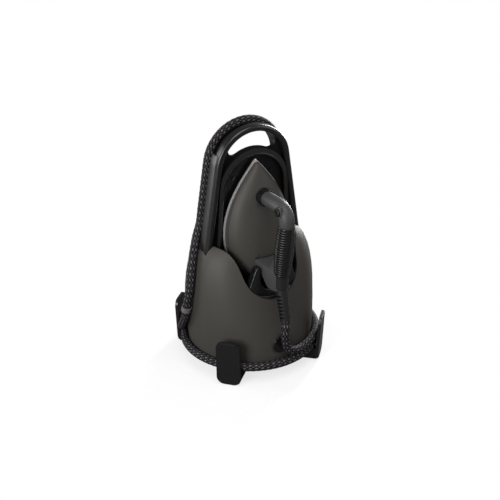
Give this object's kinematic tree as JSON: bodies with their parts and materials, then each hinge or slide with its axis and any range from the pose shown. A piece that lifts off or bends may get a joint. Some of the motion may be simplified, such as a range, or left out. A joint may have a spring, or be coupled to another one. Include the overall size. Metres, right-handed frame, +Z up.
{
  "type": "steam ironing station",
  "caption": "Upright steam ironing station: domed base with boiler, carrying bow, docked iron with a vertical grip, rear water tank and a steam hose wound round the foot.",
  "frame": {"origin": "middle of the box on the table, under the station", "axes": "+Z up, the iron's side faces -Y, +X to the right of someone who faces the iron"},
  "size_m": [0.2451, 0.2617, 0.4203],
  "materials": {
    "housing": "satin",
    "frame": "satin",
    "rail": "gloss",
    "charcoal": "satin",
    "grip_rubber": "ribbed matte",
    "rubber": "matte",
    "hose_braid": "braided",
    "clip": "satin",
    "bezel": "satin",
    "steel": "brushed",
    "aluminium": "polished edge",
    "brass": "plain",
    "white_plastic": "plain",
    "insulation": "felt",
    "board": "circuit board",
    "tank_clear": "smoky clear"
  },
  "bodies": {
    "station": {"chassis_pan": "frame", "hook_front_left": "frame", "hook_front_right": "frame", "hook_rear_left": "frame", "hook_rear_right": "frame", "rubber_feet": "rubber", "base_screws": "steel", "skirt_housing": "housing", "top_frame": "frame", "handle_bow": "frame", "hose_channel": "frame", "side_rail_left": "rail", "side_rail_right": "rail", "dock_panel": "frame", "column_back": "frame", "saddle_insert": "frame", "rest_pads": "rubber", "dock_screws": "steel", "boiler": "steel", "boiler_jacket": "insulation", "boiler_stand": "steel", "heating_element": "steel", "safety_valve": "brass", "steam_valve": "steel", "thermostat": "white_plastic", "pump": "steel", "pump_mounts": "rubber", "control_board": "board", "feed_tube": "white_plastic", "steam_pipe": "steel", "tank_seat": "frame", "mains_inlet": "rubber", "hose_gland": "frame", "steam_hose": "hose_braid", "hose_clip": "clip", "button_bezel": "bezel"},
    "iron": {"soleplate": "aluminium", "steam_chamber": "aluminium", "iron_body": "housing", "elbow_ring": "charcoal", "elbow": "charcoal", "grip": "grip_rubber", "grip_ring": "charcoal", "rear_block": "charcoal", "collar": "charcoal", "strain_relief": "charcoal", "iron_thermostat": "white_plastic", "inlet_tube": "white_plastic"},
    "steam_trigger": {"steam_button": "frame"},
    "power_switch": {"power_button": "frame"},
    "tank": {"water_tank": "tank_clear", "tank_lid": "frame", "tank_outlet": "white_plastic", "tank_seal": "rubber"},
    "tank_cap_body": {"tank_cap": "frame"}
  },
  "joints": [
    {"name": "iron_lift", "type": "slide", "parent": "station", "child": "iron", "axis": [0, 0, 1], "range_m": [0, 0.07]},
    {"name": "steam_button_press", "type": "slide", "parent": "iron", "child": "steam_trigger", "axis": [1, 0, 0], "range_m": [0, 0.0022], "stiffness_N_per_m": 400},
    {"name": "power_button_press", "type": "slide", "parent": "station", "child": "power_switch", "axis": [0, 1, 0], "range_m": [0, 0.0025], "stiffness_N_per_m": 500},
    {"name": "tank_lift", "type": "slide", "parent": "station", "child": "tank", "axis": [0, 0, 1], "range_m": [0, 0.12]},
    {"name": "tank_cap_turn", "type": "hinge", "parent": "tank", "child": "tank_cap_body", "pos_m": [0, 0.0504, 0.315], "axis": [0, 0, 1], "range_deg": [0, 90]}
  ]
}
